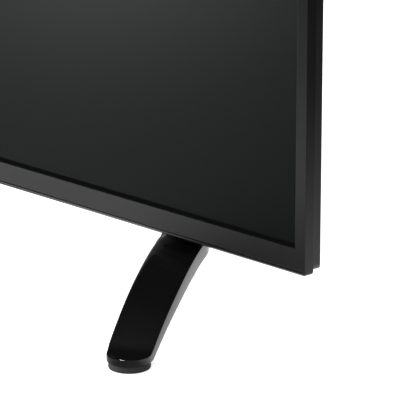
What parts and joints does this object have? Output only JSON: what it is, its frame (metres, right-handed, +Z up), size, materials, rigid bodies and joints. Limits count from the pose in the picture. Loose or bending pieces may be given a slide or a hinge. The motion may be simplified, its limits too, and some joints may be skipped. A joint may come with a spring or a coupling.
{
  "type": "flat screen tv",
  "caption": "Flat screen television with a slim dark bezel, raised rear housing, press keys and a pair of curved, splayed feet.",
  "frame": {"origin": "on the table, under the middle of the screen's front plane, which is halfway between the feet's front and rear ends", "axes": "+X to the right as seen from the front, +Y to the back, +Z up; the screen faces -Y"},
  "size_m": [0.9664, 0.202, 0.628],
  "materials": {
    "bezel_black": "fine satin texture, charcoal",
    "trim_grey": "satin dark grey strip",
    "screen_glass": "dark anti-glare screen, soft reflections",
    "cover_black": "fine grained matt black",
    "foot_black": "glossy black moulding",
    "pad_rubber": "matt rubber",
    "steel": "zinc coated sheet",
    "screw_steel": "blackened steel",
    "board_green": "green solder mask",
    "board_tan": "tan paper laminate",
    "chip_black": "moulded black",
    "heat_sink_alloy": "plain extruded",
    "socket_steel": "bright tinned shell",
    "light_white": "translucent white",
    "flex_amber": "amber film",
    "ribbon_white": "white ribbon",
    "wire_red": "insulated wire",
    "can_blue": "sleeved capacitor",
    "cone_grey": "pressed paper cone",
    "key_grey": "satin key cap",
    "smoke_red": "smoked infrared window"
  },
  "bodies": {
    "cabinet": {"front_bezel": "bezel_black", "bottom_trim": "trim_grey", "lcd_panel": "screen_glass", "panel_flexes": "flex_amber", "source_boards": "board_green", "mid_frame": "chip_black", "optical_sheets": "light_white", "diffuser_plate": "light_white", "reflector_sheet": "light_white", "led_lenses": "light_white", "led_bars": "heat_sink_alloy", "backlight_pan": "steel", "main_board": "board_green", "main_chips": "chip_black", "heat_sink": "heat_sink_alloy", "tuner": "socket_steel", "hdmi_sockets": "socket_steel", "usb_sockets": "socket_steel", "audio_jacks": "chip_black", "optical_socket": "chip_black", "power_board": "board_tan", "power_capacitors": "can_blue", "power_transformer": "chip_black", "mains_inlet": "chip_black", "power_wires": "wire_red", "ribbon_cable": "ribbon_white", "board_screws": "steel", "speaker_left": "chip_black", "speaker_right": "chip_black", "speaker_cones": "cone_grey", "ir_board": "board_green", "ir_lens": "smoke_red", "keypad_board": "board_green", "tact_switches": "chip_black", "wall_mount_posts": "steel", "foot_brackets": "steel", "back_cover": "cover_black", "cover_screws": "screw_steel", "foot_left": "foot_black", "foot_right": "foot_black", "foot_pads": "pad_rubber", "foot_screws": "screw_steel"},
    "key_power": {"key_power": "key_grey"},
    "key_source": {"key_source": "key_grey"},
    "key_menu": {"key_menu": "key_grey"},
    "key_channel_up": {"key_channel_up": "key_grey"},
    "key_channel_down": {"key_channel_down": "key_grey"},
    "key_volume_up": {"key_volume_up": "key_grey"},
    "key_volume_down": {"key_volume_down": "key_grey"}
  },
  "joints": [
    {"name": "key_power_press", "type": "slide", "parent": "cabinet", "child": "key_power", "axis": [0, -1, 0], "range_m": [0, 0.0006], "stiffness_N_per_m": 900},
    {"name": "key_source_press", "type": "slide", "parent": "cabinet", "child": "key_source", "axis": [0, -1, 0], "range_m": [0, 0.0006], "stiffness_N_per_m": 900},
    {"name": "key_menu_press", "type": "slide", "parent": "cabinet", "child": "key_menu", "axis": [0, -1, 0], "range_m": [0, 0.0006], "stiffness_N_per_m": 900},
    {"name": "key_channel_up_press", "type": "slide", "parent": "cabinet", "child": "key_channel_up", "axis": [0, -1, 0], "range_m": [0, 0.0006], "stiffness_N_per_m": 900},
    {"name": "key_channel_down_press", "type": "slide", "parent": "cabinet", "child": "key_channel_down", "axis": [0, -1, 0], "range_m": [0, 0.0006], "stiffness_N_per_m": 900},
    {"name": "key_volume_up_press", "type": "slide", "parent": "cabinet", "child": "key_volume_up", "axis": [0, -1, 0], "range_m": [0, 0.0006], "stiffness_N_per_m": 900},
    {"name": "key_volume_down_press", "type": "slide", "parent": "cabinet", "child": "key_volume_down", "axis": [0, -1, 0], "range_m": [0, 0.0006], "stiffness_N_per_m": 900}
  ]
}
